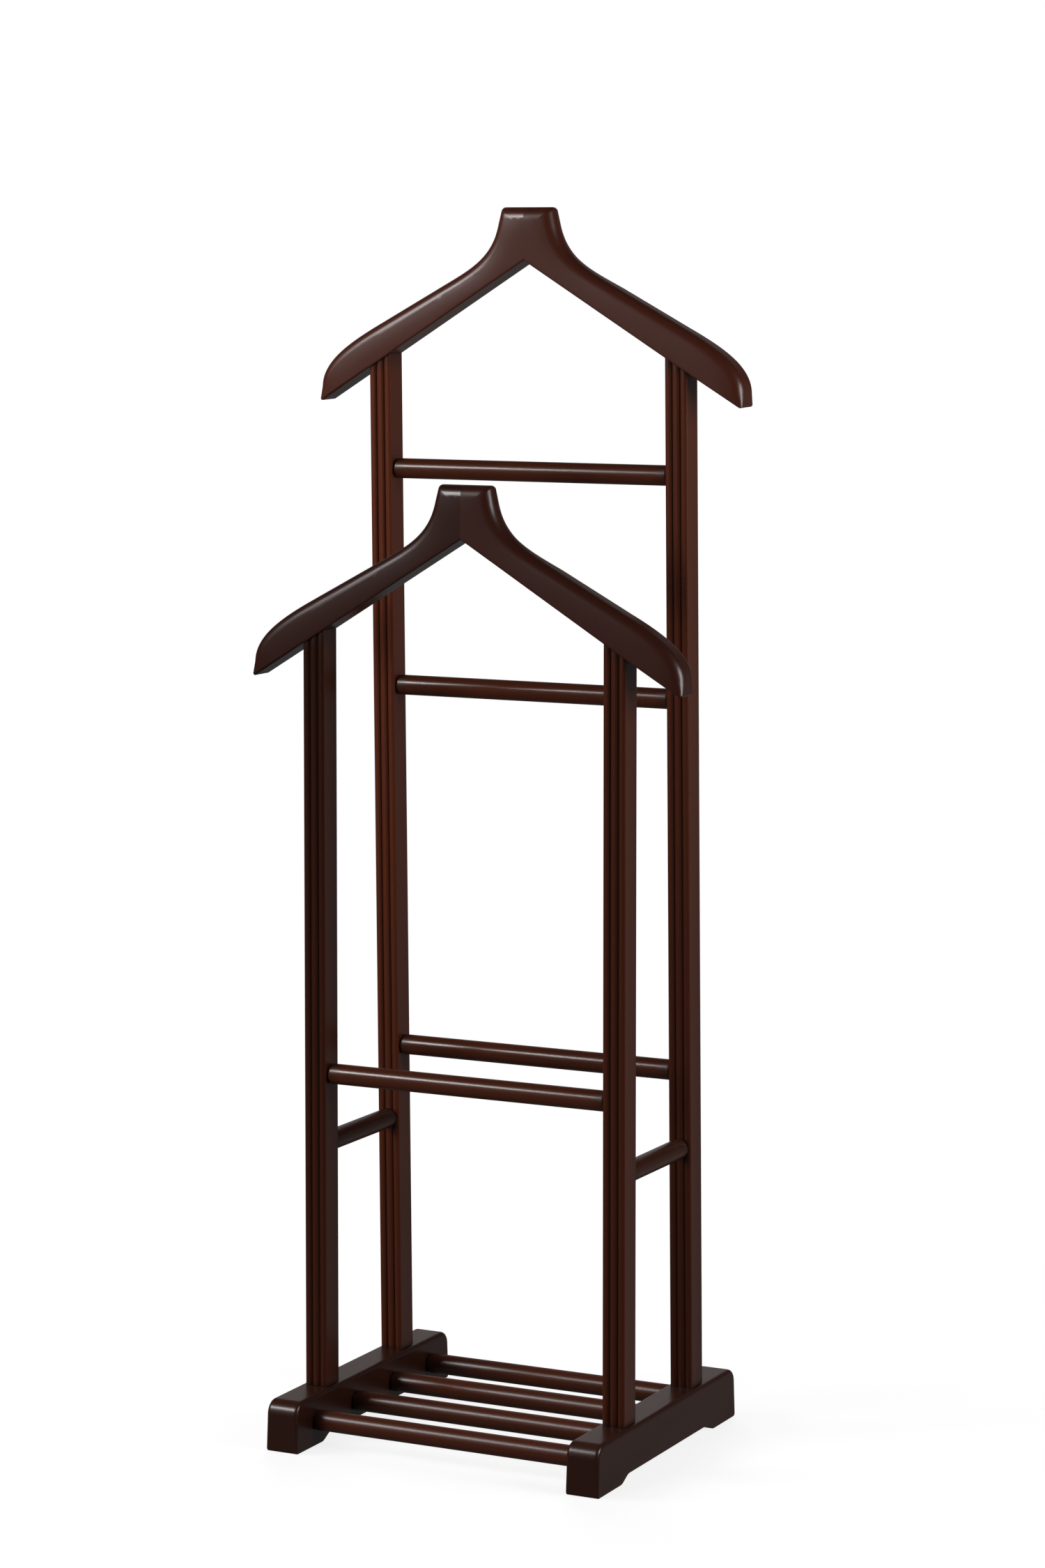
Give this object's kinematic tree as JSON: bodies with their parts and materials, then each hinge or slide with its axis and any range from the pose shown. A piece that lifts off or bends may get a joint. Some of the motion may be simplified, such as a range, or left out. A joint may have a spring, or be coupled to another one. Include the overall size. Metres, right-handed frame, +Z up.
{
  "type": "valet stand",
  "caption": "Double clothes valet stand in dark lacquered wood: a tall and a short frame with hanger-shaped tops, round rails, reeded posts and a slatted shoe rack between two runners.",
  "frame": {"origin": "on the floor, under the middle of the stand's box", "axes": "+Z up, +X to the stand's right across the hangers, -Y to the front, where the short frame stands"},
  "size_m": [0.437, 0.3, 1.1406],
  "materials": {
    "post_wood": "satin-gloss dark mahogany lacquer, grain along the post",
    "hanger_wood": "satin-gloss dark mahogany lacquer, grain along each arm",
    "rail_wood": "satin-gloss dark mahogany lacquer on turned round stock",
    "runner_wood": "satin dark mahogany lacquer, darker on the end grain",
    "pin_wood": "raw beech dowel, hidden in the joints",
    "screw_steel": "zinc-plated steel countersunk screw with a hex socket"
  },
  "bodies": {
    "root": {"runner_left": "runner_wood", "runner_right": "runner_wood", "front_post_left": "post_wood", "front_post_right": "post_wood", "rear_post_left": "post_wood", "rear_post_right": "post_wood", "front_hanger_left": "hanger_wood", "front_hanger_right": "hanger_wood", "rear_hanger_left": "hanger_wood", "rear_hanger_right": "hanger_wood", "front_lower_rail": "rail_wood", "rear_lower_rail": "rail_wood", "rear_middle_rail": "rail_wood", "rear_upper_rail": "rail_wood", "side_stretcher_left": "rail_wood", "side_stretcher_right": "rail_wood", "shoe_bar_1": "rail_wood", "shoe_bar_2": "rail_wood", "shoe_bar_3": "rail_wood", "shoe_bar_4": "rail_wood", "front_neck_pin_lower": "pin_wood", "front_neck_pin_upper": "pin_wood", "front_top_pin_left": "pin_wood", "front_top_pin_right": "pin_wood", "front_foot_pin_left": "pin_wood", "front_foot_pin_right": "pin_wood", "rear_neck_pin_lower": "pin_wood", "rear_neck_pin_upper": "pin_wood", "rear_top_pin_left": "pin_wood", "rear_top_pin_right": "pin_wood", "rear_foot_pin_left": "pin_wood", "rear_foot_pin_right": "pin_wood", "front_screw_left": "screw_steel", "front_screw_right": "screw_steel", "rear_screw_left": "screw_steel", "rear_screw_right": "screw_steel"}
  },
  "joints": []
}
